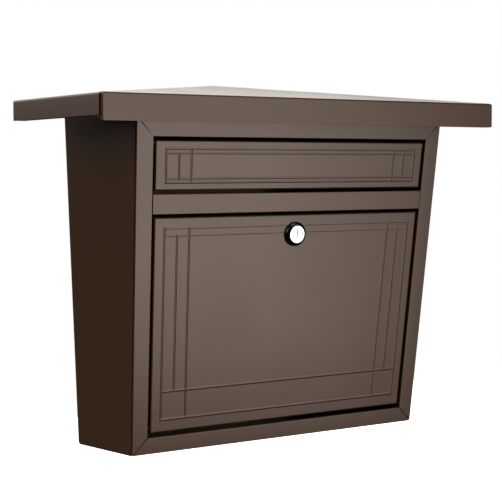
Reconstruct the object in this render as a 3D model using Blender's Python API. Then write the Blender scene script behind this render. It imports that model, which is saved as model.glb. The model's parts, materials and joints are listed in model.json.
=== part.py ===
"""Wall mounted mailbox of folded sheet steel: a tapered case under a wide hipped roof, a mail flap
that swings in, a locking access door that swings down, and a cam lock.

X runs along the wall, Y points into the wall (the wall is Y = 0, the front is at -Y), Z is up.
The origin is the middle of the flat field of the back panel. All dimensions are in millimetres
and are scaled to metres when each mesh is made."""

import math

import bmesh
import bpy
from mathutils import Vector

MM = 0.001

# Sheet, gaps and bends
SHEET = 1.2
GAP = 0.3
STEPS_BEND = 3
STEPS_ROUND = 24

# Case: S runs up the leaning front face from its bottom edge, D runs out of that face
FRONT_BOTTOM_Z = -150.0
BOTTOM_DEPTH = 110.9
LEAN = math.radians(6.27)
HALF_WIDTH_BOTTOM = 156.4
HALF_WIDTH_RISE = 0.03602
OPENING_HALF_BOTTOM = 141.1
OPENING_RISE = 0.03117
CASE_TOP_S = 310.6
CASE_REAR_Y = -8.8
FLOOR_REAR_DROP = 4.7
REAR_FLANGE = 14.0
REAR_CHAMFER = 3.6
FLOOR_SIDE_CLEAR = 3.0
PAN_LIP = 12.0
DRAIN_X = 100.0
DRAIN_YS = (-88.0, -34.0)
DRAIN_DIAMETER = 6.0
MITRE_GAP = 0.4
SEAM_GAP = 1.3

# Front frame, as distances S up the face
BOTTOM_RAIL_TOP = 14.5
DOOR_BOTTOM = 18.3
DOOR_TOP = 207.5
MID_RAIL_BOTTOM = 210.3
MID_RAIL_TOP = 228.0
FLAP_BOTTOM = 230.8
FLAP_TOP = 273.7
TOP_RAIL_BOTTOM = 276.6
TOP_MITRE_RISE = 1.04
STILE_RETURN = 14.0
INNER_RETURN = 8.0
STILE_LEG_BOTTOM = 17.0
RAIL_LEG = 8.3
RAIL_LEG_TOP = 222.0
MID_RAIL_RETURN = 2.4
BOTTOM_RAIL_RETURN = 2.4
BOTTOM_RAIL_REACH = 13.0
TOP_RAIL_LEG = 12.0
TOP_RAIL_HEM = 4.0
STOP_BOTTOM = 60.0
STOP_TOP = 186.0
STOP_REACH = 8.5
BAFFLE_FOLD = -16.0
BAFFLE_RUN = 46.0
BAFFLE_ANGLE = math.radians(42)

# Door, flap and their rods
DOOR_SIDE_GAP = 2.6
FLAP_SIDE_GAP = 2.3
PANEL_FACE = -0.6
PANEL_RETURN = 8.0
ROD_DIAMETER = 3.0
ROD_HOLE = 3.6
DOOR_ROD = (22.5, -6.0)
FLAP_ROD = (271.2, -4.5)
EAR_LOW = 234.0
EAR_HIGH = 246.0
EAR_REACH = 1.0
PUSH_NUT_DIAMETER = 6.0
PUSH_NUT_THICKNESS = 1.2

# Raised ribs pressed in the door and the flap
RIB_WIDTH = 2.4
RIB_CREST = 0.9
RIB_HEIGHT = 0.35
DOOR_RIB_INSETS = (10.0, 22.6, 34.8)
DOOR_RIB_ROWS = (29.7, 54.8, 192.0, 198.3)
FLAP_RIB_INSETS = (10.4, 23.3, 35.6)
FLAP_RIB_ROWS = (237.7, 241.3, 263.0, 266.7)

# Roof
ROOF_HALF_WIDTH = 212.7
ROOF_DEPTH = 166.4
FASCIA_BOTTOM_Z = 137.0
FASCIA_TOP_Z = 159.9
APEX_Z = 179.2
SIDE_FASCIA_BOTTOM_Z = 141.5
SIDE_FASCIA_FRONT_Y = -162.4
FASCIA_CORNER = 3.0
REAR_WALL_BOTTOM_Z = 152.0
STUD_X = 110.0
STUD_YS = (-118.0, -42.0)
STUD_SHOULDER = 9.0
STUD_THREAD = 5.0
STUD_REACH = 9.0
STUD_HOLE = 6.0
NUT_ACROSS_FLATS = 8.0
NUT_THICKNESS = 4.0
LIP_JOGGLE = 3.0
LIP_REACH = 18.0
SIDE_LIP_REACH = 10.0

# Cam lock
LOCK_X = 2.6
LOCK_S = 190.0
LOCK_BEZEL = 22.4
LOCK_FACE = 16.2
LOCK_FACE_D = 3.7
LOCK_BARREL = 16.0
LOCK_BARREL_END = -8.5
PLUG_DIAMETER = 11.4
PLUG_BORE = 12.0
PLUG_TAIL_DIAMETER = 8.0
KEYWAY_LENGTH = 8.4
KEYWAY_WIDTH = 1.2
KEYWAY_DEPTH = 4.0
LOCK_NUT_ACROSS_FLATS = 20.0
LOCK_NUT_THICKNESS = 3.0
CAM_THICKNESS = 2.0
CAM_LENGTH = 27.0
CAM_WIDTH = 12.0
CAM_CORNER = 3.0
CAM_SCREW_HEAD = 9.2
CAM_SCREW_THREAD = 4.0

# Wall fixing holes in the back panel
FIXING_X = 95.0
FIXING_ZS = (-95.0, 95.0)
FIXING_DIAMETER = 6.5
FIELD_HALF_WIDTH = 124.0
FIELD_BOTTOM_Z = -128.0
FIELD_TOP_Z = 118.0
FIELD_SLOPE = 12.0


def half_width(s):
    return HALF_WIDTH_BOTTOM + HALF_WIDTH_RISE * s


def opening_half(s):
    return OPENING_HALF_BOTTOM + OPENING_RISE * s


def front(x, s, d):
    """The point S up the leaning front face and D out of it."""
    y = -BOTTOM_DEPTH - s * math.sin(LEAN) - d * math.cos(LEAN)
    z = FRONT_BOTTOM_Z + s * math.cos(LEAN) - d * math.sin(LEAN)
    return Vector((x, y, z))


def front_y(z):
    return -BOTTOM_DEPTH - (z - FRONT_BOTTOM_Z) * math.tan(LEAN)


def side_x(z):
    return half_width((z - FRONT_BOTTOM_Z) / math.cos(LEAN))


def floor_z(y):
    """The sloping underside of the case, which falls towards the wall."""
    share = (y + BOTTOM_DEPTH) / (BOTTOM_DEPTH + CASE_REAR_Y)
    return FRONT_BOTTOM_Z - FLOOR_REAR_DROP * share


def material(name, colour, metallic, roughness):
    made = bpy.data.materials.new(name)
    made.use_nodes = True
    shader = made.node_tree.nodes["Principled BSDF"]
    shader.inputs["Base Color"].default_value = (*colour, 1)
    shader.inputs["Metallic"].default_value = metallic
    shader.inputs["Roughness"].default_value = roughness
    return made


def add_object(name, points, faces, look):
    """One closed mesh from points in millimetres, with its faces turned outwards."""
    mesh = bpy.data.meshes.new(name)
    mesh.from_pydata([Vector(p) * MM for p in points], [], faces)
    body = bmesh.new()
    body.from_mesh(mesh)
    bmesh.ops.recalc_face_normals(body, faces=body.faces)
    if body.calc_volume(signed=True) < 0:
        bmesh.ops.reverse_faces(body, faces=body.faces)
    body.to_mesh(mesh)
    body.free()
    mesh.materials.append(look)
    obj = bpy.data.objects.new(name, mesh)
    bpy.context.collection.objects.link(obj)
    return obj


def loft(name, rings, look):
    """A solid through loops of equal length, capped at both ends."""
    count = len(rings[0])
    points = [p for ring in rings for p in ring]
    faces = []
    for r in range(len(rings) - 1):
        for i in range(count):
            j = (i + 1) % count
            faces.append((r * count + i, r * count + j, (r + 1) * count + j, (r + 1) * count + i))
    faces.append(tuple(reversed(range(count))))
    last = (len(rings) - 1) * count
    faces.append(tuple(range(last, last + count)))
    return add_object(name, points, faces, look)


def fillet(outline, radii, steps=STEPS_BEND):
    """A closed outline with the listed corners rounded: radii maps a corner's index to its radius."""
    rounded = []
    for i, corner in enumerate(outline):
        radius = radii.get(i, 0)
        if not radius:
            rounded.append(tuple(corner))
            continue
        here = Vector(corner)
        back = (Vector(outline[i - 1]) - here).normalized()
        ahead = (Vector(outline[(i + 1) % len(outline)]) - here).normalized()
        half = back.angle(ahead) / 2
        centre = here + (back + ahead).normalized() * (radius / math.sin(half))
        start = here + back * (radius / math.tan(half)) - centre
        end = here + ahead * (radius / math.tan(half)) - centre
        for k in range(steps + 1):
            blend = start.lerp(end, k / steps).normalized() * radius
            rounded.append(tuple(centre + blend))
    return rounded


def cylinder(name, start, end, diameter, look, steps=STEPS_ROUND):
    """A round bar between two points."""
    axis = (Vector(end) - Vector(start)).normalized()
    side = axis.orthogonal().normalized()
    other = axis.cross(side)
    rings = []
    for centre in (Vector(start), Vector(end)):
        ring = []
        for i in range(steps):
            angle = math.tau * i / steps
            ring.append(centre + (side * math.cos(angle) + other * math.sin(angle)) * diameter / 2)
        rings.append(ring)
    return loft(name, rings, look)


def box(name, low, high, look):
    ring = [(low[0], low[1]), (high[0], low[1]), (high[0], high[1]), (low[0], high[1])]
    return loft(name, [[(x, y, z) for x, y in ring] for z in (low[2], high[2])], look)


def turned(name, base, axis, profile, look, steps=STEPS_ROUND):
    """A solid of revolution from a closed (radius, distance along the axis) profile."""
    side = axis.orthogonal().normalized()
    other = axis.cross(side)
    count = len(profile)
    points = []
    for i in range(steps):
        angle = math.tau * i / steps
        out = side * math.cos(angle) + other * math.sin(angle)
        points += [base + out * radius + axis * along for radius, along in profile]
    faces = []
    for i in range(steps):
        j = (i + 1) % steps
        for k in range(count):
            m = (k + 1) % count
            faces.append((i * count + k, i * count + m, j * count + m, j * count + k))
    return add_object(name, points, faces, look)


def apply_boolean(obj, other, operation):
    """Cuts or joins at once, so that no helper stays in the scene."""
    step = obj.modifiers.new("step", "BOOLEAN")
    step.operation = operation
    step.solver = "EXACT"
    step.object = other
    graph = bpy.context.evaluated_depsgraph_get()
    mesh = bpy.data.meshes.new_from_object(obj.evaluated_get(graph))
    obj.modifiers.clear()
    obj.data = mesh
    bpy.data.objects.remove(other)


def cut(obj, *cutters):
    for cutter in cutters:
        apply_boolean(obj, cutter, "DIFFERENCE")


def join(obj, *others):
    for other in others:
        apply_boolean(obj, other, "UNION")


def smooth(obj, degrees=35):
    for face in obj.data.polygons:
        face.use_smooth = True
    obj.data.set_sharp_from_angle(angle=math.radians(degrees))


def set_origin(obj, point):
    """Puts an object's origin at a point of its joint axis, leaving its shape where it is."""
    origin = Vector(point) * MM
    for vertex in obj.data.vertices:
        vertex.co -= origin
    obj.location = origin


def hex_nut(name, base, axis, across_flats, thickness, bore, look):
    """A hexagonal nut whose seat is at base and whose body runs along axis."""
    nut = cylinder(name, base, base + axis * thickness, across_flats * 2 / math.sqrt(3), look, 6)
    cut(nut, cylinder("cutter", base - axis, base + axis * (thickness + 1), bore, look, 16))
    return nut


def profile_along_x(name, outline, end_x, look):
    """A folded strip along X: outline holds (s, d) corners, and end_x gives its half length at each."""
    rings = []
    for side in (-1, 1):
        rings.append([front(side * end_x(s, d), s, d) for s, d in outline])
    return loft(name, rings, look)


# The folded shell of the case


def side_panel(name, side, look):
    """Side panel with its rear flange: a section at each height, lofted from the floor to the top."""

    def section(z):
        x = side_x(z)
        back = CASE_REAR_Y
        nose = front_y(z) + SHEET + SEAM_GAP
        outline = [
            (x - REAR_FLANGE, back),
            (x, back),
            (x, back - REAR_CHAMFER),
            (x, nose),
            (x - SHEET, nose),
            (x - SHEET, back - REAR_CHAMFER),
            (x - SHEET, back - SHEET),
            (x - REAR_FLANGE, back - SHEET),
        ]
        return fillet(outline, {1: 2.0, 6: 0.8})

    def bottom(y):
        flat = floor_z(y)
        return flat + max(0.0, y - CASE_REAR_Y + REAR_CHAMFER - 0.01)

    top_z = front(0, CASE_TOP_S, 0).z
    low = [(side * x, y, bottom(y)) for x, y in section(FRONT_BOTTOM_Z)]
    high = [(side * x, y, top_z) for x, y in section(top_z)]
    return loft(name, [low, high], look)


def back_panel(look):
    """Rear sheet with a raised flat field that meets the wall."""
    rim_front = CASE_REAR_Y - SHEET - GAP - SHEET
    rim_back = CASE_REAR_Y - SHEET - GAP
    low_z = floor_z(rim_back) + SHEET + GAP
    top_z = front(0, CASE_TOP_S, 0).z - SHEET - GAP
    inset = SHEET + GAP

    def frame(half_low, half_high, z_low, z_high, y):
        low = [(-half_low, y, z_low), (half_low, y, z_low)]
        return low + [(half_high, y, z_high), (-half_high, y, z_high)]

    wide_low, wide_high = side_x(low_z) - inset, side_x(top_z) - inset
    slope = FIELD_HALF_WIDTH + FIELD_SLOPE
    foot_low, foot_high = FIELD_BOTTOM_Z - FIELD_SLOPE, FIELD_TOP_Z + FIELD_SLOPE
    loops = [
        frame(wide_low, wide_high, low_z, top_z, rim_back),
        frame(slope, slope, foot_low, foot_high, rim_back),
        frame(FIELD_HALF_WIDTH, FIELD_HALF_WIDTH, FIELD_BOTTOM_Z, FIELD_TOP_Z, 0),
        frame(FIELD_HALF_WIDTH, FIELD_HALF_WIDTH, FIELD_BOTTOM_Z, FIELD_TOP_Z, -SHEET),
        frame(slope, slope, foot_low, foot_high, rim_front),
        frame(wide_low, wide_high, low_z, top_z, rim_front),
    ]
    points = [p for loop in loops for p in loop]
    faces = []
    for a, b in ((0, 1), (1, 2), (3, 4), (4, 5), (5, 0)):
        for i in range(4):
            j = (i + 1) % 4
            faces.append((a * 4 + i, a * 4 + j, b * 4 + j, b * 4 + i))
    faces += [(8, 9, 10, 11), (12, 13, 14, 15)]
    panel = add_object("back_panel", points, faces, look)
    for x in (-FIXING_X, FIXING_X):
        for z in FIXING_ZS:
            cut(panel, cylinder("cutter", (x, -9, z), (x, 9, z), FIXING_DIAMETER, look, 16))
    return panel


def tray(name, loop_at, rim, thick, look):
    """A pan: a flat sheet with a return on all four sides. loop_at(inset, level) gives its corners,
    level 0 being the sheet's outer face and rim the free edge of the returns."""
    loops = [loop_at(0, 0), loop_at(0, rim), loop_at(thick, rim), loop_at(thick, thick)]
    points = [p for loop in loops for p in loop]
    faces = [(0, 1, 2, 3), (12, 13, 14, 15)]
    for a in range(3):
        for i in range(4):
            j = (i + 1) % 4
            faces.append((a * 4 + i, a * 4 + j, a * 4 + 4 + j, a * 4 + 4 + i))
    return add_object(name, points, faces, look)


def bottom_panel(look):
    rear = CASE_REAR_Y - 2 * (SHEET + GAP) - SHEET

    def loop_at(inset, level):
        nose = -BOTTOM_DEPTH + SHEET + GAP + 0.4 + inset
        tail = rear - inset
        wide = HALF_WIDTH_BOTTOM - FLOOR_SIDE_CLEAR - inset
        loop = []
        for x, y in ((-wide, nose), (wide, nose), (wide, tail), (-wide, tail)):
            loop.append((x, y, floor_z(y) + SHEET + GAP + level))
        return loop

    panel = tray("bottom_panel", loop_at, PAN_LIP, SHEET, look)
    for x in (-DRAIN_X, DRAIN_X):
        for y in DRAIN_YS:
            z = floor_z(y)
            cut(panel, cylinder("cutter", (x, y, z - 5), (x, y, z + 8), DRAIN_DIAMETER, look, 16))
    return panel


def top_panel(look):
    top_z = front(0, CASE_TOP_S, 0).z
    wide = side_x(top_z) - SHEET - GAP - 0.4
    nose = front_y(top_z) + STILE_RETURN + 1.5
    tail = CASE_REAR_Y - 2 * (SHEET + GAP) - SHEET

    def loop_at(inset, level):
        x, z = wide - inset, top_z - level
        return [(-x, nose + inset, z), (x, nose + inset, z), (x, tail - inset, z), (-x, tail - inset, z)]

    panel = tray("top_panel", loop_at, PAN_LIP, SHEET, look)
    for x in (-STUD_X, STUD_X):
        for y in STUD_YS:
            cut(panel, cylinder("cutter", (x, y, top_z - 6), (x, y, top_z + 6), STUD_HOLE, look, 16))
    return panel


# The front frame


def stile(name, side, look):
    """Upright of the front frame, mitred at both ends, with holes for the two rods."""
    leg = 1.5
    low_width = HALF_WIDTH_BOTTOM - opening_half(BOTTOM_RAIL_TOP)
    rise = BOTTOM_RAIL_TOP / low_width

    def section(s):
        w, o = half_width(s), opening_half(s)
        outline = [
            (o, 0),
            (w, 0),
            (w, -SHEET),
            (w - leg, -SHEET),
            (w - leg, -STILE_RETURN),
            (w - leg - SHEET, -STILE_RETURN),
            (w - leg - SHEET, -SHEET),
            (o + SHEET, -SHEET),
            (o + SHEET, -INNER_RETURN),
            (o, -INNER_RETURN),
        ]
        return fillet(outline, {0: 0.7, 1: 0.9})

    def low_end(x):
        return (HALF_WIDTH_BOTTOM - x) * rise + MITRE_GAP

    def high_end(x):
        return TOP_RAIL_BOTTOM + (x - opening_half(TOP_RAIL_BOTTOM)) * TOP_MITRE_RISE - MITRE_GAP

    rings = []
    for nominal, end in ((0.0, low_end), (TOP_RAIL_BOTTOM, high_end)):
        ring = []
        for k, (x, d) in enumerate(section(nominal)):
            at = end(x)
            if end is low_end and d < -SHEET - 0.01:
                at = STILE_LEG_BOTTOM
            x, d = section(at)[k]
            ring.append(front(side * x, at, d))
        rings.append(ring)
    made = loft(name, rings, look)
    for s, d in (DOOR_ROD, FLAP_ROD):
        inside = front(side * (opening_half(s) - 4), s, d)
        outside = front(side * (opening_half(s) + 6), s, d)
        cut(made, cylinder("cutter", inside, outside, ROD_HOLE, look, 16))
    return made


def top_rail(look):
    mitre_s = TOP_RAIL_BOTTOM + 17.9

    def end_x(s, d):
        corner = opening_half(TOP_RAIL_BOTTOM) + MITRE_GAP
        if d < -SHEET - 0.01:
            return corner - 6.0
        if d < -0.01 and s < mitre_s - 1:
            corner -= 0.8
        return min(corner + (s - TOP_RAIL_BOTTOM) / TOP_MITRE_RISE, half_width(mitre_s) - MITRE_GAP)

    outline = [
        (TOP_RAIL_BOTTOM, 0),
        (mitre_s, 0),
        (CASE_TOP_S, 0),
        (CASE_TOP_S, -TOP_RAIL_LEG),
        (CASE_TOP_S - SHEET, -TOP_RAIL_LEG),
        (CASE_TOP_S - SHEET, -SHEET),
        (mitre_s, -SHEET),
        (TOP_RAIL_BOTTOM + SHEET, -SHEET),
        (TOP_RAIL_BOTTOM + SHEET, -TOP_RAIL_HEM),
        (TOP_RAIL_BOTTOM, -TOP_RAIL_HEM),
    ]
    return profile_along_x("top_rail", fillet(outline, {0: 0.7}), end_x, look)


def mid_rail(look):
    """Rail between the openings: its upper edge returns inwards, its lower edge turns up behind."""
    outline = [
        (MID_RAIL_BOTTOM, 0),
        (MID_RAIL_TOP, 0),
        (MID_RAIL_TOP, -MID_RAIL_RETURN),
        (MID_RAIL_TOP - SHEET, -MID_RAIL_RETURN),
        (MID_RAIL_TOP - SHEET, -SHEET),
        (MID_RAIL_BOTTOM + SHEET, -SHEET),
        (MID_RAIL_BOTTOM + SHEET, SHEET - RAIL_LEG),
        (RAIL_LEG_TOP, SHEET - RAIL_LEG),
        (RAIL_LEG_TOP, -RAIL_LEG),
        (MID_RAIL_BOTTOM, -RAIL_LEG),
    ]

    def end_x(s, d):
        return opening_half(s) - 0.4

    return profile_along_x("mid_rail", fillet(outline, {0: 0.7, 1: 0.7}), end_x, look)


def bottom_rail(look):
    """Lowest rail: its upper edge returns inwards and its lower edge carries the floor."""
    low_width = HALF_WIDTH_BOTTOM - opening_half(BOTTOM_RAIL_TOP)
    fall = math.tan(LEAN + math.atan(FLOOR_REAR_DROP / (BOTTOM_DEPTH + CASE_REAR_Y)))
    drop = fall * BOTTOM_RAIL_REACH

    def end_x(s, d):
        if d < -SHEET - 0.01:
            return opening_half(BOTTOM_RAIL_TOP) - 1.0
        return HALF_WIDTH_BOTTOM - max(s, 0.0) / BOTTOM_RAIL_TOP * low_width - MITRE_GAP

    outline = [
        (0, 0),
        (BOTTOM_RAIL_TOP, 0),
        (BOTTOM_RAIL_TOP, -BOTTOM_RAIL_RETURN),
        (BOTTOM_RAIL_TOP - SHEET, -BOTTOM_RAIL_RETURN),
        (BOTTOM_RAIL_TOP - SHEET, -SHEET),
        (SHEET, -SHEET),
        (SHEET - drop, -BOTTOM_RAIL_REACH),
        (-drop, -BOTTOM_RAIL_REACH),
    ]
    return profile_along_x("bottom_rail", fillet(outline, {0: 0.9, 1: 0.7}), end_x, look)


def door_stop(name, side, look):
    """Angle strip behind the stile that the closed door's side return rests against."""
    clear = SHEET + GAP
    root = -SHEET - GAP - 0.1
    face = -INNER_RETURN - 0.5

    def ring(s):
        o = opening_half(s)
        outline = [
            (o + clear, root),
            (o + clear, face),
            (o - STOP_REACH, face),
            (o - STOP_REACH, face - SHEET),
            (o + clear + SHEET, face - SHEET),
            (o + clear + SHEET, root),
        ]
        return [front(side * x, s, d) for x, d in outline]

    return loft(name, [ring(STOP_BOTTOM), ring(STOP_TOP)], look)


def baffle(look):
    """Sheet behind the mid rail that steers mail down and keeps a hand out of the case."""
    ledge = RAIL_LEG_TOP + GAP
    nose = -7.3
    down = Vector((-math.sin(BAFFLE_ANGLE), -math.cos(BAFFLE_ANGLE)))
    lift = Vector((-down.y, down.x)) * SHEET
    end = Vector((ledge, BAFFLE_FOLD)) + down * BAFFLE_RUN
    outline = [
        (ledge, nose),
        (ledge, BAFFLE_FOLD),
        tuple(end),
        tuple(end + lift),
        (ledge + SHEET, BAFFLE_FOLD - SHEET * math.tan(BAFFLE_ANGLE / 2)),
        (ledge + SHEET, nose),
    ]

    def end_x(s, d):
        return opening_half(s) - 1.5

    return profile_along_x("baffle", outline, end_x, look)


# Door and flap


def ribbed_face(half_at, low, high, insets, rows, short):
    """Columns, rows and heights of a sheet with raised ribs. The ribs numbered in short stop at the
    two inner rows, the others run between the outer rows."""
    half_rib, half_crest = RIB_WIDTH / 2, RIB_CREST / 2
    steps = (-half_rib, -half_crest, half_crest, half_rib)
    columns = [(-1, 0.0)]
    for inset in insets:
        columns += [(-1, inset + step) for step in steps]
    columns += [(1, inset) for _, inset in reversed(columns)]
    levels = [low]
    for row in rows:
        levels += [row + step for step in steps]
    levels.append(high)

    def crest(value, centre):
        return abs(value - centre) <= half_crest + 1e-6

    def height(inset, s):
        if rows[0] - half_crest - 1e-6 <= s <= rows[-1] + half_crest + 1e-6:
            for i, centre in enumerate(insets):
                inside = rows[1] <= s <= rows[-2]
                if crest(inset, centre) and (i not in short or inside):
                    return RIB_HEIGHT
        if inset >= insets[0] - half_crest - 1e-6:
            for row in rows:
                if crest(s, row):
                    return RIB_HEIGHT
        return 0.0

    grid = []
    for s in levels:
        line = []
        for side, inset in columns:
            line.append(front(side * (half_at(s) - inset), s, PANEL_FACE + height(inset, s)))
        grid.append(line)
    return grid


def ribbed_pan(name, half_at, low, high, insets, rows, short, look):
    """Pressed sheet with ribs on its face and a return on all four sides."""
    grid = ribbed_face(half_at, low, high, insets, rows, short)
    tall, wide = len(grid), len(grid[0])
    points = [p for line in grid for p in line]
    faces = []
    for r in range(tall - 1):
        for c in range(wide - 1):
            a = r * wide + c
            faces.append((a, a + 1, a + wide + 1, a + wide))

    def loop(inset, d):
        corners = []
        for side, s in ((-1, low + inset), (1, low + inset), (1, high - inset), (-1, high - inset)):
            corners.append(front(side * (half_at(s) - inset), s, d))
        return corners

    base = len(points)
    points += loop(0, -PANEL_RETURN) + loop(SHEET, -PANEL_RETURN) + loop(SHEET, PANEL_FACE - SHEET)
    edges = [
        list(range(wide)),
        [r * wide + wide - 1 for r in range(tall)],
        [(tall - 1) * wide + c for c in reversed(range(wide))],
        [r * wide for r in reversed(range(tall))],
    ]
    for i, edge in enumerate(edges):
        j = (i + 1) % 4
        faces.append(tuple(edge) + (base + j, base + i))
        faces.append((base + i, base + j, base + 4 + j, base + 4 + i))
        faces.append((base + 4 + i, base + 4 + j, base + 8 + j, base + 8 + i))
    faces.append((base + 8, base + 9, base + 10, base + 11))
    return add_object(name, points, faces, look)


def door_half(s):
    return opening_half(s) - DOOR_SIDE_GAP


def flap_half(s):
    return opening_half(s) - FLAP_SIDE_GAP


def access_door(look):
    door = ribbed_pan(
        "access_door", door_half, DOOR_BOTTOM, DOOR_TOP, DOOR_RIB_INSETS, DOOR_RIB_ROWS, (1,), look
    )
    s, d = DOOR_ROD
    cut(
        door,
        cylinder("cutter", front(-160, s, d), front(160, s, d), ROD_HOLE, look, 16),
        cylinder("cutter", front(LOCK_X, LOCK_S, 6), front(LOCK_X, LOCK_S, -6), LOCK_BARREL + 2 * GAP, look),
    )
    set_origin(door, front(0, s, d))


def stop_ear(side, look):
    """Ear bent out of the flap's side return, which rests behind the stile's inner return."""
    seat = -INNER_RETURN - GAP
    rings = []
    for s in (EAR_LOW, EAR_HIGH):
        near, far = flap_half(s), opening_half(s) + EAR_REACH
        outline = [
            (near - SHEET + 0.1, 0.4 - PANEL_RETURN),
            (near - 0.1, 0.4 - PANEL_RETURN),
            (near - 0.1, seat),
            (far, seat),
            (far, seat - SHEET),
            (near - SHEET + 0.1, seat - SHEET),
        ]
        rings.append([front(side * x, s, d) for x, d in outline])
    return loft("ear", rings, look)


def mail_flap(look):
    flap = ribbed_pan(
        "mail_flap", flap_half, FLAP_BOTTOM, FLAP_TOP, FLAP_RIB_INSETS, FLAP_RIB_ROWS, (1,), look
    )
    s, d = FLAP_ROD
    cut(flap, cylinder("cutter", front(-170, s, d), front(170, s, d), ROD_HOLE, look, 16))
    join(flap, stop_ear(-1, look), stop_ear(1, look))
    set_origin(flap, front(0, *FLAP_ROD))


def rod_and_nuts(prefix, rod, look):
    s, d = rod
    reach = opening_half(s) + SHEET + 4.0
    smooth(cylinder(prefix + "_rod", front(-reach, s, d), front(reach, s, d), ROD_DIAMETER, look, 16))
    for label, side in (("left", -1), ("right", 1)):
        start = opening_half(s) + SHEET + GAP
        ring = [
            (ROD_DIAMETER / 2 + GAP, 0),
            (PUSH_NUT_DIAMETER / 2, 0),
            (PUSH_NUT_DIAMETER / 2, PUSH_NUT_THICKNESS),
            (ROD_DIAMETER / 2 + GAP, PUSH_NUT_THICKNESS),
        ]
        base = front(side * start, s, d)
        smooth(turned(f"{prefix}_push_nut_{label}", base, Vector((side, 0, 0)), ring, look, 16))


# Cam lock


def turned_solid(name, base, axis, profile, look, steps):
    """A solid of revolution whose profile starts and ends on the axis."""
    side = axis.orthogonal().normalized()
    other = axis.cross(side)
    inner = profile[1:-1]
    points = [base + axis * profile[0][1], base + axis * profile[-1][1]]
    for i in range(steps):
        angle = math.tau * i / steps
        out = side * math.cos(angle) + other * math.sin(angle)
        points += [base + out * radius + axis * along for radius, along in inner]
    faces = []
    count = len(inner)
    for i in range(steps):
        a, b = 2 + i * count, 2 + (i + 1) % steps * count
        faces.append((0, a, b))
        faces.append((1, b + count - 1, a + count - 1))
        for k in range(count - 1):
            faces.append((a + k, a + k + 1, b + k + 1, b + k))
    return add_object(name, points, faces, look)


def lock_body(base, out, chrome):
    """Round shell: a domed bezel in front of the door and a barrel through it."""
    rim = LOCK_BEZEL / 2
    seat = PANEL_FACE + RIB_HEIGHT + GAP
    shell = [
        (PLUG_BORE / 2, LOCK_BARREL_END),
        (LOCK_BARREL / 2, LOCK_BARREL_END),
        (LOCK_BARREL / 2, seat),
        (rim, seat),
        (rim, 1.3),
        (rim - 0.5, 2.2),
        (rim - 1.5, 3.05),
        (LOCK_FACE / 2, LOCK_FACE_D),
        (PLUG_BORE / 2, LOCK_FACE_D),
    ]
    return turned("lock_body", base, out, shell, chrome, 32)


def lock_plug(base, out, across, up, chrome):
    """Turning core with its keyway, and the narrow tail that carries the cam."""
    radius, tail_radius = PLUG_DIAMETER / 2, PLUG_TAIL_DIAMETER / 2
    bore = CAM_SCREW_THREAD / 2 + GAP
    face = LOCK_FACE_D - GAP
    tail = LOCK_BARREL_END - 2 * GAP - CAM_THICKNESS
    profile = [
        (bore, tail),
        (tail_radius, tail),
        (tail_radius, LOCK_BARREL_END),
        (radius, LOCK_BARREL_END),
        (radius, face),
        (bore, face),
    ]
    plug = turned("lock_plug", base, out, profile, chrome, 24)
    join(plug, cylinder("core", base + out * face, base - out * 2, 2 * bore + 0.8, chrome, 16))
    wide, tall = KEYWAY_WIDTH / 2, KEYWAY_LENGTH / 2
    slot = []
    for depth in (face + 1, face - KEYWAY_DEPTH):
        corners = ((-wide, -tall), (wide, -tall), (wide, tall), (-wide, tall))
        slot.append([base + across * x + up * s + out * depth for x, s in corners])
    cut(plug, loft("keyway", slot, chrome))
    return plug


def lock_cam(base, out, across, up, steel):
    """Flat cam, round where the plug's tail holds it and cropped at its free corners."""
    near = LOCK_BARREL_END - GAP
    half = CAM_WIDTH / 2
    steps = 12
    outline = []
    for i in range(steps + 1):
        angle = math.pi / 2 + math.pi * i / steps
        outline.append((half * math.cos(angle), half * math.sin(angle)))
    outline += [(CAM_LENGTH - CAM_CORNER, -half), (CAM_LENGTH, -half + CAM_CORNER)]
    outline += [(CAM_LENGTH, half - CAM_CORNER), (CAM_LENGTH - CAM_CORNER, half)]
    rings = []
    for depth in (near, near - CAM_THICKNESS):
        rings.append([base + across * x + up * s + out * depth for x, s in outline])
    cam = loft("lock_cam", rings, steel)
    hole = PLUG_TAIL_DIAMETER + 2 * GAP
    cut(cam, cylinder("cutter", base + out * (near + 3), base + out * (near - 6), hole, steel, 20))
    return cam


def cam_screw(base, out, steel):
    head = LOCK_BARREL_END - 3 * GAP - CAM_THICKNESS
    wide, thread = CAM_SCREW_HEAD / 2, CAM_SCREW_THREAD / 2
    profile = [
        (0.0, head - 2.4),
        (wide - 0.4, head - 2.4),
        (wide, head - 1.9),
        (wide, head),
        (thread, head),
        (thread, -3.5),
        (0.0, -3.5),
    ]
    return turned_solid("cam_screw", base, out, profile, steel, 16)


def cam_lock(chrome, steel):
    base = front(LOCK_X, LOCK_S, 0)
    out = (front(0, 0, 1) - front(0, 0, 0)).normalized()
    up = (front(0, 1, 0) - front(0, 0, 0)).normalized()
    across = Vector((1, 0, 0))
    body = lock_body(base, out, chrome)
    seat = base + out * (PANEL_FACE - SHEET - GAP)
    bore = LOCK_BARREL + 2 * GAP
    nut = hex_nut("lock_nut", seat, -out, LOCK_NUT_ACROSS_FLATS, LOCK_NUT_THICKNESS, bore, steel)
    for obj in (body, nut):
        set_origin(obj, front(0, *DOOR_ROD))
        smooth(obj)
    plug = lock_plug(base, out, across, up, chrome)
    cam = lock_cam(base, out, across, up, steel)
    for obj in (plug, cam, cam_screw(base, out, steel)):
        set_origin(obj, base)
        smooth(obj)


# Roof


def roof_height(x, y):
    """Height of the roof's outer skin."""
    along = (ROOF_HALF_WIDTH - abs(x)) / ROOF_HALF_WIDTH
    out = (ROOF_DEPTH + y) / ROOF_DEPTH
    return FASCIA_TOP_Z + (APEX_Z - FASCIA_TOP_Z) * min(along, out)


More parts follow.
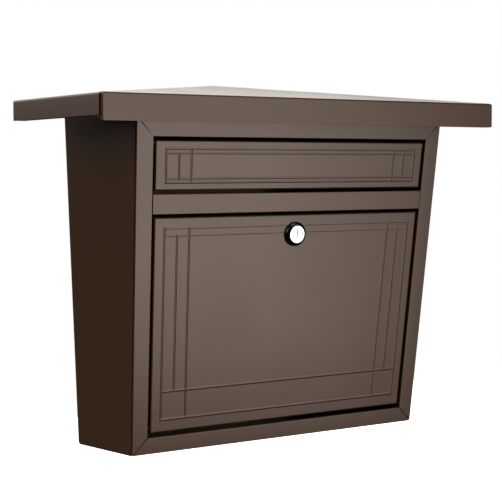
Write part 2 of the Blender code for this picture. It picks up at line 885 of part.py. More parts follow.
def corner_cutter(x_side, z_corner, z_side, y_low, y_high, look):
    """The waste outside a rounded corner of the front fascia."""
    r = FASCIA_CORNER
    x = ROOF_HALF_WIDTH
    outline = [(x + 1, z_corner + z_side), (x + 1, z_corner - z_side * r), (x, z_corner - z_side * r)]
    for i in range(1, 5):
        angle = math.pi / 2 * i / 5
        outline.append((x - r + r * math.cos(angle), z_corner - z_side * (r - r * math.sin(angle))))
    outline += [(x - r, z_corner), (x - r, z_corner + z_side)]
    rings = [[(x_side * px, y, pz) for px, pz in outline] for y in (y_low, y_high)]
    return loft("cutter", rings, look)


def roof(look):
    half, deep, low, rim = ROOF_HALF_WIDTH, ROOF_DEPTH, FASCIA_BOTTOM_Z, FASCIA_TOP_Z
    t = SHEET

    def shell(inset, z_low, drop):
        a, b = half - inset, deep - inset
        loops = []
        for z in (z_low, rim - drop):
            loops += [(-a, -inset, z), (-a, -b, z), (a, -b, z), (a, -inset, z)]
        return loops + [(0, -inset, APEX_Z - drop)]

    points = shell(0, low, 0) + shell(t, low, t)
    faces = []
    for base in (0, 9):
        for i, j in ((0, 1), (1, 2), (2, 3)):
            faces.append((base + i, base + j, base + 4 + j, base + 4 + i))
            faces.append((base + 4 + i, base + 4 + j, base + 8))
        faces.append((base + 3, base + 0, base + 4, base + 8, base + 7))
    for i, j in ((0, 1), (1, 2), (2, 3), (3, 0)):
        faces.append((i, j, 9 + j, 9 + i))
    hood = add_object("roof", points, faces, look)

    wide = half + 5
    rear_half = half - t - 0.1
    cutters = [box("cutter", (-rear_half, -t - 1, low - 5), (rear_half, 5, REAR_WALL_BOTTOM_Z), look)]
    for side in (-1, 1):
        outer, inner = side * wide, side * (half - t - 0.5)
        x_low, x_high = min(outer, inner), max(outer, inner)
        seam_low, seam_high = -deep + t + 0.1, SIDE_FASCIA_FRONT_Y
        seam_top, side_low = rim - 1.0, SIDE_FASCIA_BOTTOM_Z
        cutters.append(box("cutter", (x_low, seam_low, low - 5), (x_high, seam_high, seam_top), look))
        cutters.append(box("cutter", (x_low, seam_high - 1, low - 5), (x_high, 5, side_low), look))
        cutters.append(corner_cutter(side, low, -1, -deep - 2, seam_high - 0.5, look))
        cutters.append(corner_cutter(side, rim, 1, -deep - 2, seam_high - 0.5, look))
    cut(hood, *cutters)

    join_roof_lips(hood, look)
    join_roof_studs(hood, look)
    return hood


def join_roof_lips(hood, look):
    """Returns under the fascias: the front one joggles upwards, the side ones are flat."""
    half, deep, t = ROOF_HALF_WIDTH, ROOF_DEPTH, SHEET
    low = FASCIA_BOTTOM_Z + 0.05
    high = low + LIP_JOGGLE
    front_lip = [
        (-deep + 0.5, low),
        (-deep + 6.0, low),
        (-deep + 10.0, high),
        (-deep + LIP_REACH, high),
        (-deep + LIP_REACH, high + t),
        (-deep + 9.5, high + t),
        (-deep + 5.5, low + t),
        (-deep + 0.5, low + t),
    ]
    lip_half = half - FASCIA_CORNER
    join(hood, loft("lip", [[(x, y, z) for y, z in front_lip] for x in (-lip_half, lip_half)], look))
    side_low = SIDE_FASCIA_BOTTOM_Z + 0.05
    for side in (-1, 1):
        x_out, x_in = side * (half - 0.5), side * (half - SIDE_LIP_REACH)
        low_corner = (min(x_out, x_in), SIDE_FASCIA_FRONT_Y + 0.4, side_low)
        high_corner = (max(x_out, x_in), -2.0, side_low + t)
        join(hood, box("lip", low_corner, high_corner, look))


def join_roof_studs(hood, look):
    """Welded studs: a shoulder that stands on the case top and a thread that goes through it."""
    deck = front(0, CASE_TOP_S, 0).z
    for x in (-STUD_X, STUD_X):
        for y in STUD_YS:
            skin = roof_height(x, y) - SHEET / 2
            stud = cylinder("stud", (x, y, deck + GAP), (x, y, skin), STUD_SHOULDER, look, 16)
            low, high = (x, y, deck - STUD_REACH), (x, y, deck + 2)
            join(stud, cylinder("thread", low, high, STUD_THREAD, look, 16))
            join(hood, stud)


def roof_nuts(look):
    under = front(0, CASE_TOP_S, 0).z - SHEET - GAP
    down = Vector((0, 0, -1))
    for label, side in (("left", -1), ("right", 1)):
        for place, y in zip(("front", "rear"), STUD_YS):
            base = Vector((side * STUD_X, y, under))
            name = f"roof_nut_{place}_{label}"
            hex_nut(name, base, down, NUT_ACROSS_FLATS, NUT_THICKNESS, STUD_THREAD + 2 * GAP, look)


def build():
    bronze = material("bronze_powder_coat", (0.115, 0.085, 0.068), 0.35, 0.42)
    chrome = material("chrome", (0.8, 0.8, 0.8), 1.0, 0.12)
    zinc = material("zinc_plated_steel", (0.55, 0.56, 0.58), 1.0, 0.4)

    back_panel(bronze)
    side_panel("left_side_panel", -1, bronze)
    side_panel("right_side_panel", 1, bronze)
    bottom_panel(bronze)
    top_panel(bronze)
    roof(bronze)
    roof_nuts(zinc)
    stile("left_stile", -1, bronze)
    stile("right_stile", 1, bronze)
    top_rail(bronze)
    mid_rail(bronze)
    bottom_rail(bronze)
    door_stop("door_stop_left", -1, bronze)
    door_stop("door_stop_right", 1, bronze)
    baffle(bronze)
    access_door(bronze)
    rod_and_nuts("door", DOOR_ROD, zinc)
    mail_flap(bronze)
    rod_and_nuts("flap", FLAP_ROD, zinc)
    cam_lock(chrome, zinc)


for leftover in list(bpy.data.objects):
    bpy.data.objects.remove(leftover)
build()
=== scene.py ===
"""The looks of a wall mounted mailbox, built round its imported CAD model."""
import json
import math

import bmesh
import bpy
from mathutils import Matrix, Vector


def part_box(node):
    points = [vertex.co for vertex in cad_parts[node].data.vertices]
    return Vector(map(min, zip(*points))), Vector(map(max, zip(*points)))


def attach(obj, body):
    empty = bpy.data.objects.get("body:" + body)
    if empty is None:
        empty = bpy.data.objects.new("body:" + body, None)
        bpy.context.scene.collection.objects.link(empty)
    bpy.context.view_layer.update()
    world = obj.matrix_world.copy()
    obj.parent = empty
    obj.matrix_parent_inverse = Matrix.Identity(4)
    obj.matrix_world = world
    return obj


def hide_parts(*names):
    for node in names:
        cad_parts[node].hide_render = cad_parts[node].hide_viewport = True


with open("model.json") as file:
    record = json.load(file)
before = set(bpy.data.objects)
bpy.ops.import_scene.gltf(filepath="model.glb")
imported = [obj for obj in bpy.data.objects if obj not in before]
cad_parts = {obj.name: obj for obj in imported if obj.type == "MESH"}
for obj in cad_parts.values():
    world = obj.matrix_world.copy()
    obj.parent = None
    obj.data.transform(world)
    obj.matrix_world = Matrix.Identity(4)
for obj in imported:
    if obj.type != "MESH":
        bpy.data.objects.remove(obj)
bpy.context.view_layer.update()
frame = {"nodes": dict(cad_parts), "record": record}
nodes = frame["nodes"]

MM = 0.001
SHEET = 1.2
EDGE_ROUND = 0.35

# Door and flap, in millimetres: S runs up the leaning front, D out of it. Rows are rib heights up the
# front and insets are rib distances from the sides; row_press is how strongly each row is pressed.
OPENING_HALF_BOTTOM = 141.1
OPENING_RISE = 0.03117
DOOR = {
    "low": 18.3,
    "high": 207.5,
    "gap": 2.6,
    "insets": (10.0, 22.6, 34.8),
    "rows": (29.7, 54.8, 192.0, 198.3),
    "row_press": (1.4, 1.4, 0.35, 0.35),
    "rod": (22.5, -6.0),
}
FLAP = {
    "low": 230.8,
    "high": 273.7,
    "gap": 2.3,
    "insets": (10.4, 23.3, 35.6),
    "rows": (237.7, 241.3, 263.0, 266.7),
    "row_press": (0.9, 0.65, 0.6, 0.65),
    "rod": (271.2, -4.5),
}
SHORT_RIB = 1
UPRIGHT_PRESS = 1.25
FACE = -0.6
RETURN = -8.0
BEND = 1.3
RIB_CREST = 0.15
RIB_FLANK = 1.05
RIB_HEIGHT = 0.23
RIB_MARGIN = 0.25
EDGE_MARGIN = 0.3
RIBBED_BORDER = 60.3
ROD_HOLE = 3.6
ROD_REACH = 170.0
LOCK_HOLE = 16.6
EAR_LOW = 234.0
EAR_HIGH = 246.0
EAR_SEAT = -8.3
EAR_ROOT = -7.6
EAR_REACH = 1.0
LAP = 0.1

# Roof: its outer size comes from the frame
roof_low, roof_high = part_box("roof")
ROOF_HALF = round(roof_high.x / MM, 1)
ROOF_DEPTH = round(-roof_low.y / MM, 1)
APEX = round(roof_high.z / MM, 1)
FASCIA_LOW = 137.0
FASCIA_TOP = 159.9
SIDE_FASCIA_LOW = 141.5
SIDE_FASCIA_FRONT = -162.4
REAR_WALL_LOW = 152.0
ROOF_BEND = 2.1
ROOF_BEND_STEPS = 7
CORNER_RADIUS = 3.4
CORNER_STEPS = 8
LIP_FLAT = 6.0
LIP_STEP = 10.0
LIP_DEPTH = 18.0
LIP_RISE = 3.0
SIDE_LIP = 10.0
STUD_X = 110.0
STUD_YS = (-118.0, -42.0)
STUD_BASE_RADIUS = 4.5
STUD_RADIUS = 2.5
STUD_BELOW_DECK = 9

# Lock shell: radii and distances out of the door
LOCK_S = 190.0
LOCK_RIM = 11.2
LOCK_CROWN = (
    (11.1, 0.3), (11.2, 0.55), (11.12, 0.95), (10.9, 1.4), (10.5, 1.95), (10.0, 2.45),
    (9.4, 2.9), (8.8, 3.27), (8.25, 3.52), (7.95, 3.64), (7.75, 3.7), (7.4, 3.7),
)
LOCK_FACE_D = 3.7
LOCK_SEAT = 0.05
LOCK_BARREL = 8.0
LOCK_BORE = 6.0
LOCK_TAIL = -8.5
LOCK_EASE = 0.15
LOCK_STEPS = 72
# Radius beyond which the lock ring gets dark metal, a painted reflection of dark surroundings
PAINTED_RING_RADIUS = 7.8

# Surroundings: light from below to above the horizon, then the windows, each with its range across
# and up in degrees, the softness of its edge, and its strength
LIGHT = (1.0, 0.98, 0.935, 1)
BASE = (0.015, 0.06)
WINDOWS = (
    ((4, 41), (-19.5, -3), 8, 3.15),
    ((4, 41), (-3, 36), 9, 2.15),
    ((-30, 80), (60, 82), 10, 3.2),
    ((140, 181), (10.5, 50), 6, 2.2),
    ((112, 140), (10.5, 50), 6, 1.85),
    ((-181, -120), (4, 60), 8, 1.1),
    ((-125, -60), (10, 70), 12, 1.35),
)
FLOOR_HALF = 4.0
FLOOR_LEVEL = -0.9

# Camera, in metres and degrees
CAMERA = (-0.7549, -1.1827, 0.09536)
CAMERA_YAW = 34.011
CAMERA_PITCH = -3.174
CAMERA_ROLL = -0.218
CAMERA_LENS = 102.54
SENSOR = 36.0


# Node helpers


def new_tree(name):
    """A new material, its node tree and its Principled BSDF."""
    made = bpy.data.materials.new(name)
    made.use_nodes = True
    return made, made.node_tree, made.node_tree.nodes["Principled BSDF"]


def add(tree, kind, **settings):
    node = tree.nodes.new(kind)
    for key, value in settings.items():
        setattr(node, key, value)
    return node


def math_node(tree, operation, first, second=None):
    node = add(tree, "ShaderNodeMath", operation=operation)
    for socket, value in zip(node.inputs, (first, second)):
        if value is None:
            continue
        if isinstance(value, (int, float)):
            socket.default_value = value
        else:
            tree.links.new(value, socket)
    return node.outputs[0]


def ramp_between(tree, value, low, high, to_low=0.0, to_high=1.0):
    """A smooth step of value from low to high."""
    node = add(tree, "ShaderNodeMapRange", interpolation_type="SMOOTHSTEP")
    tree.links.new(value, node.inputs["Value"])
    node.inputs["From Min"].default_value = low
    node.inputs["From Max"].default_value = high
    node.inputs["To Min"].default_value = to_low
    node.inputs["To Max"].default_value = to_high
    return node.outputs[0]


def noise(tree, vector, scale, detail=2.0, roughness=0.5):
    node = add(tree, "ShaderNodeTexNoise")
    tree.links.new(vector, node.inputs["Vector"])
    node.inputs["Scale"].default_value = scale
    node.inputs["Detail"].default_value = detail
    node.inputs["Roughness"].default_value = roughness
    return node.outputs["Fac"]


def bump(tree, shader, height, strength, distance):
    node = add(tree, "ShaderNodeBump")
    node.inputs["Strength"].default_value = strength
    node.inputs["Distance"].default_value = distance
    tree.links.new(height, node.inputs["Height"])
    tree.links.new(node.outputs[0], shader.inputs["Normal"])


# Materials


def powder_coat():
    """Satin bronze powder coat: an orange-peel skin, faint cloudiness and fine dark specks."""
    made, tree, shader = new_tree("bronze_powder_coat_look")
    shader.inputs["Metallic"].default_value = 0.15
    shader.inputs["IOR"].default_value = 1.5
    where = add(tree, "ShaderNodeTexCoord").outputs["Object"]
    cloud = noise(tree, where, 9.0, 3.0)
    peel = noise(tree, where, 620.0, 2.0)
    speck = noise(tree, where, 2400.0, 1.0)
    colour = add(tree, "ShaderNodeMix", data_type="RGBA")
    colour.inputs["A"].default_value = (0.098, 0.0505, 0.0285, 1)
    colour.inputs["B"].default_value = (0.106, 0.0545, 0.0315, 1)
    tree.links.new(cloud, colour.inputs["Factor"])
    flecked = add(tree, "ShaderNodeMix", data_type="RGBA", blend_type="MULTIPLY")
    flecked.inputs["Factor"].default_value = 1.0
    tree.links.new(colour.outputs["Result"], flecked.inputs["A"])
    shade = ramp_between(tree, speck, 0.3, 0.7, 0.92, 1.06)
    tree.links.new(shade, flecked.inputs["B"])
    tree.links.new(flecked.outputs["Result"], shader.inputs["Base Color"])
    tree.links.new(ramp_between(tree, cloud, 0.3, 0.7, 0.18, 0.215), shader.inputs["Roughness"])
    bump(tree, shader, peel, 0.12, 0.00006)
    return made


def polished_plate(name, colour, smooth, hazy):
    """A polished metal whose roughness drifts a little, from smooth to hazy."""
    made, tree, shader = new_tree(name)
    shader.inputs["Base Color"].default_value = colour
    shader.inputs["Metallic"].default_value = 1.0
    where = add(tree, "ShaderNodeTexCoord").outputs["Object"]
    haze = noise(tree, where, 700.0, 3.0)
    tree.links.new(ramp_between(tree, haze, 0.35, 0.75, smooth, hazy), shader.inputs["Roughness"])
    return made


def zinc_plate():
    """Bright zinc: a pale metal with soft spangles."""
    made, tree, shader = new_tree("zinc_look")
    shader.inputs["Metallic"].default_value = 1.0
    where = add(tree, "ShaderNodeTexCoord").outputs["Object"]
    spangle = noise(tree, where, 420.0, 2.0)
    colour = add(tree, "ShaderNodeMix", data_type="RGBA")
    colour.inputs["A"].default_value = (0.50, 0.51, 0.53, 1)
    colour.inputs["B"].default_value = (0.68, 0.69, 0.70, 1)
    tree.links.new(spangle, colour.inputs["Factor"])
    tree.links.new(colour.outputs["Result"], shader.inputs["Base Color"])
    tree.links.new(ramp_between(tree, spangle, 0.3, 0.7, 0.28, 0.42), shader.inputs["Roughness"])
    return made


LOOKS = {
    "bronze_powder_coat": powder_coat(),
    "chrome": polished_plate("chrome_look", (0.93, 0.93, 0.94, 1), 0.05, 0.14),
    "zinc_plated_steel": zinc_plate(),
}


# CAD nodes


def dress(name):
    """Gives a CAD node its look, welds its facets and rounds its edges."""
    obj = nodes[name]
    slot = obj.data.materials[0].name
    obj.data.materials[0] = LOOKS[slot]
    for face in obj.data.polygons:
        face.use_smooth = True
    weld = obj.modifiers.new("weld", "WELD")
    weld.merge_threshold = 1e-6
    flat = obj.modifiers.new("flat", "DECIMATE")
    flat.decimate_type = "DISSOLVE"
    flat.angle_limit = math.radians(0.5)
    bevel = obj.modifiers.new("bevel", "BEVEL")
    bevel.width = EDGE_ROUND * MM
    bevel.segments = 2
    bevel.limit_method = "ANGLE"
    bevel.angle_limit = math.radians(30)
    bevel.miter_outer = "MITER_ARC"
    weight = obj.modifiers.new("weight", "WEIGHTED_NORMAL")
    weight.keep_sharp = False
    weight.weight = 100


for node_name in nodes:
    if node_name not in ("access_door", "mail_flap", "lock_body", "roof"):
        dress(node_name)


# Pieces built finer than the CAD nodes they stand for

lock_joint = next(j for j in frame["record"]["behaviour"]["joints"] if j["name"] == "lock_turn")
OUT = Vector(lock_joint["axis"]).normalized()
UP = Vector((0, OUT.z, -OUT.y))
LOCK_BASE = Vector(lock_joint["pos_m"])
LOCK_X = LOCK_BASE.x / MM


def front(x, s, d):
    """A point of the leaning front in metres, from millimetres across, up and out of it."""
    return LOCK_BASE + Vector(((x - LOCK_X) * MM, 0, 0)) + UP * ((s - LOCK_S) * MM) + OUT * (d * MM)


def solid(name, points, faces):
    """A closed mesh object with its faces turned outwards."""
    mesh = bpy.data.meshes.new(name)
    mesh.from_pydata(points, [], faces)
    body = bmesh.new()
    body.from_mesh(mesh)
    bmesh.ops.recalc_face_normals(body, faces=body.faces)
    if body.calc_volume(signed=True) < 0:
        bmesh.ops.reverse_faces(body, faces=body.faces)
    body.to_mesh(mesh)
    body.free()
    obj = bpy.data.objects.new(name, mesh)
    bpy.context.scene.collection.objects.link(obj)
    return obj


def combine(obj, other, operation):
    """Joins other to obj or cuts it away, and removes other."""
    step = obj.modifiers.new("step", "BOOLEAN")
    step.operation = operation
    step.solver = "EXACT"
    step.object = other
    graph = bpy.context.evaluated_depsgraph_get()
    mesh = bpy.data.meshes.new_from_object(obj.evaluated_get(graph))
    obj.modifiers.clear()
    obj.data = mesh
    bpy.data.objects.remove(other)


def bar(start, end, radius, steps=32):
    """A round bar between two points, its radius in millimetres."""
    axis = (end - start).normalized()
    side = axis.orthogonal().normalized()
    other = axis.cross(side)
    points, faces = [], []
    for centre in (start, end):
        for i in range(steps):
            turn = math.tau * i / steps
            points.append(centre + (side * math.cos(turn) + other * math.sin(turn)) * radius * MM)
    for i in range(steps):
        j = (i + 1) % steps
        faces.append((i, j, steps + j, steps + i))
    faces += [tuple(range(steps)), tuple(range(steps, 2 * steps))]
    return solid("cutter", points, faces)


def finish_piece(obj, look, body, *stands_for):
    """Gives a finer piece its look, its body and the CAD nodes it stands for."""
    obj.data.materials.clear()
    obj.data.materials.append(LOOKS[look])
    for face in obj.data.polygons:
        face.use_smooth = True
        face.material_index = 0
    obj.data.set_sharp_from_angle(angle=math.radians(40))
    weight = obj.modifiers.new("weight", "WEIGHTED_NORMAL")
    weight.keep_sharp = True
    weight.weight = 60
    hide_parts(*stands_for)
    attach(obj, body)


def swell(distance):
    """Height of a pressed rib at a distance from its centre line: a flat crest and eased flanks."""
    if distance <= RIB_CREST:
        return RIB_HEIGHT
    share = min((distance - RIB_CREST) / RIB_FLANK, 1.0)
    return RIB_HEIGHT * 0.5 * (1 + math.cos(math.pi * share))


def rib_height(panel, inset, s):
    """Height of the pressed pattern at a distance from the side and a height up the front."""
    insets, rows = panel["insets"], panel["rows"]
    best = 0.0
    for i, centre in enumerate(insets):
        low, high = (rows[1], rows[-2]) if i == SHORT_RIB else (rows[0], rows[-1])
        beyond = max(low - s, s - high, 0.0)
        best = max(best, UPRIGHT_PRESS * swell(math.hypot(inset - centre, beyond)))
    beyond = max(insets[0] - inset, 0.0)
    for row, press in zip(rows, panel["row_press"]):
        best = max(best, press * swell(math.hypot(s - row, beyond)))
    return best


def lines_across(centres, low, high):
    """Grid lines across ribs: close together on each rib, with a line just outside it."""
    half = RIB_CREST + RIB_FLANK
    steps = [0.0]
    for share in (0.0, 0.2, 0.4, 0.6, 0.8, 1.0):
        steps += [RIB_CREST + share * RIB_FLANK, -RIB_CREST - share * RIB_FLANK]
    steps += [half + RIB_MARGIN, -half - RIB_MARGIN]
    made = [low, low + EDGE_MARGIN, high - EDGE_MARGIN, high]
    for centre in centres:
        made += [centre + step for step in steps]
    return sorted(made)


def pressed_pan(name, panel):
    """A sheet pressed with raised ribs, bent round at its edges into a return on all four sides."""

    def half(s):
        return OPENING_HALF_BOTTOM + OPENING_RISE * s - panel["gap"]

    levels = lines_across(panel["rows"], panel["low"] + BEND, panel["high"] - BEND)
    inner = lines_across(panel["insets"], BEND, RIBBED_BORDER)
    columns = [(-1, inset) for inset in inner] + [(1, inset) for inset in reversed(inner)]
    tall, wide = len(levels), len(columns)
    flat = []
    for s in levels:
        for side, inset in columns:
            flat.append((side * (half(s) - inset), s, FACE + rib_height(panel, inset, s)))
    faces = []
    for r in range(tall - 1):
        for c in range(wide - 1):
            a = r * wide + c
            faces.append((a, a + 1, a + wide + 1, a + wide))
    rim = [(c, 0, -1) for c in range(wide)]
    rim += [(r * wide + wide - 1, 1, 0) for r in range(tall)]
    rim += [((tall - 1) * wide + c, 0, 1) for c in reversed(range(wide))]
    rim += [(r * wide, -1, 0) for r in reversed(range(tall))]
    loop = []
    for point, across, along in rim:
        if loop and loop[-1][0] == point:
            loop[-1] = (point, loop[-1][1] + across, loop[-1][2] + along)
        else:
            loop.append((point, across, along))
    point, across, along = loop.pop()
    loop[0] = (point, loop[0][1] + across, loop[0][2] + along)
    rings = []
    for turn in (18, 36, 54, 72, 90):
        out = BEND * math.sin(math.radians(turn))
        rings.append((out, FACE - BEND * (1 - math.cos(math.radians(turn)))))
    rings += [(BEND, FACE - BEND - EDGE_MARGIN), (BEND, RETURN)]
    rings += [(BEND - SHEET, RETURN), (BEND - SHEET, FACE - SHEET)]
    before = [point for point, _, _ in loop]
    count = len(before)
    for out, d in rings:
        base = len(flat)
        for point, across, along in loop:
            x, s, _ = flat[point]
            flat.append((x + across * out, s + along * out, d))
        after = list(range(base, base + count))
        for i in range(count):
            j = (i + 1) % count
            faces.append((before[i], before[j], after[j], after[i]))
        before = after
    faces.append(tuple(before))
    return solid(name, [front(*p) for p in flat], faces)


def drill_rod_holes(pan, panel):
    s, d = panel["rod"]
    combine(pan, bar(front(-ROD_REACH, s, d), front(ROD_REACH, s, d), ROD_HOLE / 2), "DIFFERENCE")


def access_door():
    door = pressed_pan("pressed_door", DOOR)
    drill_rod_holes(door, DOOR)
    start, end = front(LOCK_X, LOCK_S, 5), front(LOCK_X, LOCK_S, -5)
    combine(door, bar(start, end, LOCK_HOLE / 2, 64), "DIFFERENCE")
    finish_piece(door, "bronze_powder_coat", "door", "access_door")


def mail_flap():
    """The flap, with two ears bent out of its side returns that stop it behind the stiles."""
    flap = pressed_pan("pressed_flap", FLAP)
    drill_rod_holes(flap, FLAP)
    sides = [(i, (i + 1) % 6, 6 + (i + 1) % 6, 6 + i) for i in range(6)]
    for side in (-1, 1):
        corners = []
        for s in (EAR_LOW, EAR_HIGH):
            opening = OPENING_HALF_BOTTOM + OPENING_RISE * s
            near, far = opening - FLAP["gap"], opening + EAR_REACH
            inner = near - SHEET + LAP
            outline = ((inner, EAR_ROOT), (near - LAP, EAR_ROOT), (near - LAP, EAR_SEAT))
            outline += ((far, EAR_SEAT), (far, EAR_SEAT - SHEET), (inner, EAR_SEAT - SHEET))
            corners += [front(side * x, s, d) for x, d in outline]
        ends = [tuple(range(6)), tuple(range(6, 12))]
        combine(flap, solid("ear", corners, sides + ends), "UNION")
    finish_piece(flap, "bronze_powder_coat", "flap", "mail_flap")


def lock_shell():
    """Turned lock body: a rounded bezel before the door and the barrel through it."""
    ring = [(LOCK_BORE, LOCK_TAIL), (LOCK_BARREL, LOCK_TAIL), (LOCK_BARREL, LOCK_SEAT)]
    ring += [(LOCK_RIM - 0.5, LOCK_SEAT), (LOCK_RIM - 0.35, LOCK_SEAT + LOCK_EASE)]
    ring += LOCK_CROWN
    ring += [(LOCK_BORE + LOCK_EASE, LOCK_FACE_D), (LOCK_BORE, LOCK_FACE_D - LOCK_EASE)]
    steps, count = LOCK_STEPS, len(ring)
    across = Vector((1, 0, 0))
    base = front(LOCK_X, LOCK_S, 0)
    points, faces = [], []
    for i in range(steps):
        turn = math.tau * i / steps
        away = across * math.cos(turn) + UP * math.sin(turn)
        points += [base + away * (radius * MM) + OUT * (d * MM) for radius, d in ring]
        for k in range(count):
            j, m = (i + 1) % steps, (k + 1) % count
            faces.append((i * count + k, i * count + m, j * count + m, j * count + k))
    shell = solid("lock_shell", points, faces)
    finish_piece(shell, "chrome", "door", "lock_body")
    return shell


def prism(outline, low, high, place):
    """A solid that runs an outline from low to high; place turns (u, v, along) into a point in mm."""
    count = len(outline)
    points = [Vector(place(u, v, along)) * MM for along in (low, high) for u, v in outline]
    faces = [(i, (i + 1) % count, count + (i + 1) % count, count + i) for i in range(count)]
    faces += [tuple(range(count)), tuple(range(count, 2 * count))]
    return solid("cutter", points, faces)


def block(low, high):
    """A box between two corners in millimetres."""
    ring = [(low[0], low[1]), (high[0], low[1]), (high[0], high[1]), (low[0], high[1])]
    return prism(ring, low[2], high[2], lambda x, y, z: (x, y, z))


def hood_block(inset, low, drop):
    """The hipped block that the roof is folded round, inset by the sheet for its inside."""
    a, b, rim = ROOF_HALF - inset, ROOF_DEPTH - inset, FASCIA_TOP - drop
    points = []
    for z in (low, rim):
        points += [(-a, -inset, z), (-a, -b, z), (a, -b, z), (a, -inset, z)]
    points.append((0, -inset, APEX - drop))
    faces = [(0, 1, 5, 4), (1, 2, 6, 5), (2, 3, 7, 6), (4, 5, 8), (5, 6, 8), (6, 7, 8)]
    faces += [(3, 0, 4, 8, 7), (0, 1, 2, 3)]
    return solid("hood", [Vector(p) * MM for p in points], faces)


def corner_waste(side, corner, away):
    """What is outside the rounded corner of the front fascia, seen from the front."""
    r, x = CORNER_RADIUS, ROOF_HALF
    outline = [(x + 1, corner + away), (x + 1, corner - away * r), (x, corner - away * r)]
    for i in range(1, CORNER_STEPS):
        turn = math.pi / 2 * i / CORNER_STEPS
        outline.append((x - r + r * math.cos(turn), corner - away * (r - r * math.sin(turn))))
    outline += [(x - r, corner), (x - r, corner + away)]
    span = (-ROOF_DEPTH - 2, SIDE_FASCIA_FRONT - 0.5)
    return prism(outline, *span, lambda u, v, y: (side * u, y, v))


def add_studs(hood):
    """Welds four stepped studs under the hood, down through the top of the case."""
    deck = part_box("top_panel")[1].z
    for x in (-STUD_X, STUD_X):
        for y in STUD_YS:
            out = min((ROOF_HALF - abs(x)) / ROOF_HALF, (ROOF_DEPTH + y) / ROOF_DEPTH)
            skin = (FASCIA_TOP + (APEX - FASCIA_TOP) * out - SHEET / 2) * MM
            spans = (
                (deck + 0.3 * MM, skin, STUD_BASE_RADIUS),
                (deck - STUD_BELOW_DECK * MM, deck + 2 * MM, STUD_RADIUS),
            )
            for low, high, radius in spans:
                start, end = Vector((x * MM, y * MM, low)), Vector((x * MM, y * MM, high))
                combine(hood, bar(start, end, radius, 24), "UNION")


def roof_hood():
    """The roof sheet: bent fascias on three sides, open corner seams, lips below and welded studs."""
    t, low, rim = SHEET, FASCIA_LOW, FASCIA_TOP
    hood = hood_block(0, low, 0)
    body = bmesh.new()
    body.from_mesh(hood.data)
    bends = []
    for edge in body.edges:
        a, b = (v.co / MM for v in edge.verts)
        level = abs(a.z - rim) < 0.01 and abs(b.z - rim) < 0.01
        upright = abs((a - b).z) > 5 and a.y < -ROOF_DEPTH + 1 and b.y < -ROOF_DEPTH + 1
        if level or upright:
            bends.append(edge)
    bmesh.ops.bevel(
        body, geom=bends, offset=ROOF_BEND * MM, offset_type="OFFSET", segments=ROOF_BEND_STEPS,
        profile=0.5, affect="EDGES",
    )
    body.to_mesh(hood.data)
    body.free()
    combine(hood, hood_block(t, low - 20, t), "DIFFERENCE")
    rear = ROOF_HALF - t - 0.1
    combine(hood, block((-rear, -t - 1, low - 25), (rear, 5, REAR_WALL_LOW)), "DIFFERENCE")
    for side in (-1, 1):
        outer, inner = side * (ROOF_HALF + 5), side * (ROOF_HALF - t - 0.5)
        x_low, x_high = min(outer, inner), max(outer, inner)
        seam = (-ROOF_DEPTH + t + 0.1, SIDE_FASCIA_FRONT)
        combine(hood, block((x_low, seam[0], low - 5), (x_high, seam[1], rim - 1.0)), "DIFFERENCE")
        combine(hood, block((x_low, seam[1] - 1, low - 5), (x_high, 5, SIDE_FASCIA_LOW)), "DIFFERENCE")
        combine(hood, corner_waste(side, low, -1), "DIFFERENCE")
        combine(hood, corner_waste(side, rim, 1), "DIFFERENCE")
    y, z, raised = -ROOF_DEPTH, low + 0.05, low + 0.05 + LIP_RISE
    lip = [
        (y + 0.5, z), (y + LIP_FLAT, z), (y + LIP_STEP, raised), (y + LIP_DEPTH, raised),
        (y + LIP_DEPTH, raised + t), (y + LIP_STEP - 0.5, raised + t), (y + LIP_FLAT - 0.5, z + t),
        (y + 0.5, z + t),
    ]
    reach = ROOF_HALF - CORNER_RADIUS
    combine(hood, prism(lip, -reach, reach, lambda u, v, x: (x, u, v)), "UNION")
    z = SIDE_FASCIA_LOW + 0.05
    for side in (-1, 1):
        ends = sorted((side * (ROOF_HALF - 0.5), side * (ROOF_HALF - SIDE_LIP)))
        combine(hood, block((ends[0], SIDE_FASCIA_FRONT + 0.4, z), (ends[1], -2.0, z + t)), "UNION")
    add_studs(hood)
    finish_piece(hood, "bronze_powder_coat", "case", "roof")


def paint_bezel_dark_reflection(obj):
    """The lock's rounded ring gets a dark metal look, a painted reflection of the dark surroundings
    its chrome reflects; its flat face stays bright chrome.
    """
    obj.data.materials.append(polished_plate("painted_dark_reflection_look", (0.07, 0.07, 0.085, 1), 0.08, 0.16))
    for face in obj.data.polygons:
        middle = face.center - LOCK_BASE
        radius = (middle - OUT * middle.dot(OUT)).length
        # Ring faces outside the flat face get the dark metal of the painted reflection
        if radius > PAINTED_RING_RADIUS * MM and middle.dot(OUT) > 0:
            face.material_index = 1


access_door()
mail_flap()
# The lock ring's dark metal is a painted reflection of dark surroundings
paint_bezel_dark_reflection(lock_shell())
roof_hood()


# Light, floor and camera


def window(tree, azimuth, elevation, across, up, soft, strength):
    """A soft-edged bright rectangle of the surroundings, in degrees; azimuth 0 faces the front."""
    edge = math.radians(soft) / 2
    low, high = math.radians(across[0]), math.radians(across[1])
    bottom, top = math.radians(up[0]), math.radians(up[1])
    left = ramp_between(tree, azimuth, low - edge, low + edge)
    right = ramp_between(tree, azimuth, high - edge, high + edge, 1.0, 0.0)
    under = ramp_between(tree, elevation, bottom - edge, bottom + edge)
    over = ramp_between(tree, elevation, top - edge, top + edge, 1.0, 0.0)
    wide = math_node(tree, "MULTIPLY", left, right)
    tall = math_node(tree, "MULTIPLY", under, over)
    return math_node(tree, "MULTIPLY", math_node(tree, "MULTIPLY", wide, tall), strength)


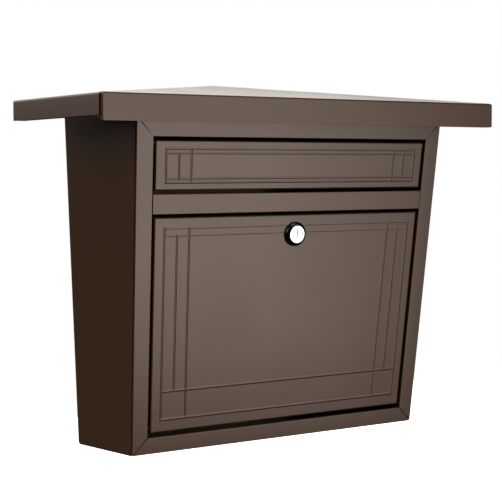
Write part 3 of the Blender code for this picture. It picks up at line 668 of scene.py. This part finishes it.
def surroundings():
    """The lit world: windows for the object to reflect, and plain white for the camera."""
    world = bpy.data.worlds.new("studio")
    bpy.context.scene.world = world
    world.use_nodes = True
    tree = world.node_tree
    lit = tree.nodes["Background"]
    lit.inputs["Color"].default_value = LIGHT
    place = add(tree, "ShaderNodeSeparateXYZ")
    tree.links.new(add(tree, "ShaderNodeTexCoord").outputs["Generated"], place.inputs[0])
    x, y, z = place.outputs
    azimuth = math_node(tree, "ARCTAN2", x, math_node(tree, "MULTIPLY", y, -1.0))
    elevation = math_node(tree, "ARCSINE", z)
    strength = ramp_between(tree, elevation, -0.02, 0.2, BASE[0], BASE[1])
    for across, up, soft, bright in WINDOWS:
        more = window(tree, azimuth, elevation, across, up, soft, bright)
        strength = math_node(tree, "ADD", strength, more)
    tree.links.new(strength, lit.inputs["Strength"])
    plain = add(tree, "ShaderNodeBackground")
    plain.inputs["Color"].default_value = (1, 1, 1, 1)
    choice = add(tree, "ShaderNodeMixShader")
    tree.links.new(add(tree, "ShaderNodeLightPath").outputs["Is Camera Ray"], choice.inputs[0])
    tree.links.new(lit.outputs[0], choice.inputs[1])
    tree.links.new(plain.outputs[0], choice.inputs[2])
    tree.links.new(choice.outputs[0], tree.nodes["World Output"].inputs["Surface"])


surroundings()


def pale_floor():
    """A plain pale floor below the object, left out of what the object reflects."""
    mesh = bpy.data.meshes.new("floor")
    size, level = FLOOR_HALF, FLOOR_LEVEL
    mesh.from_pydata(
        [(-size, -size, level), (size, -size, level), (size, size, level), (-size, size, level)],
        [],
        [(0, 1, 2, 3)],
    )
    obj = bpy.data.objects.new("floor", mesh)
    bpy.context.scene.collection.objects.link(obj)
    made, tree, shader = new_tree("pale_floor")
    shader.inputs["Base Color"].default_value = (0.9, 0.9, 0.9, 1)
    shader.inputs["Roughness"].default_value = 0.8
    shader.inputs["Emission Color"].default_value = (1, 1, 1, 1)
    shader.inputs["Emission Strength"].default_value = 1.0
    mesh.materials.append(made)
    obj.visible_diffuse = False
    obj.visible_glossy = False


pale_floor()


def camera():
    """The camera of the main view, turned by its yaw, pitch and roll."""
    data = bpy.data.cameras.new("camera")
    data.lens = CAMERA_LENS
    data.sensor_width = SENSOR
    data.clip_start = 0.05
    data.clip_end = 50.0
    obj = bpy.data.objects.new("camera", data)
    bpy.context.scene.collection.objects.link(obj)
    yaw, pitch, roll = (math.radians(a) for a in (CAMERA_YAW, CAMERA_PITCH, CAMERA_ROLL))
    ahead = Vector((math.sin(yaw) * math.cos(pitch), math.cos(yaw) * math.cos(pitch), math.sin(pitch)))
    level = Vector((math.cos(yaw), -math.sin(yaw), 0))
    above = level.cross(ahead)
    right = level * math.cos(roll) + above * math.sin(roll)
    up = above * math.cos(roll) - level * math.sin(roll)
    turn = Matrix((right, up, -ahead)).transposed()
    obj.matrix_world = Matrix.Translation(CAMERA) @ turn.to_4x4()
    bpy.context.scene.camera = obj


camera()
bpy.context.scene.view_settings.view_transform = "Standard"
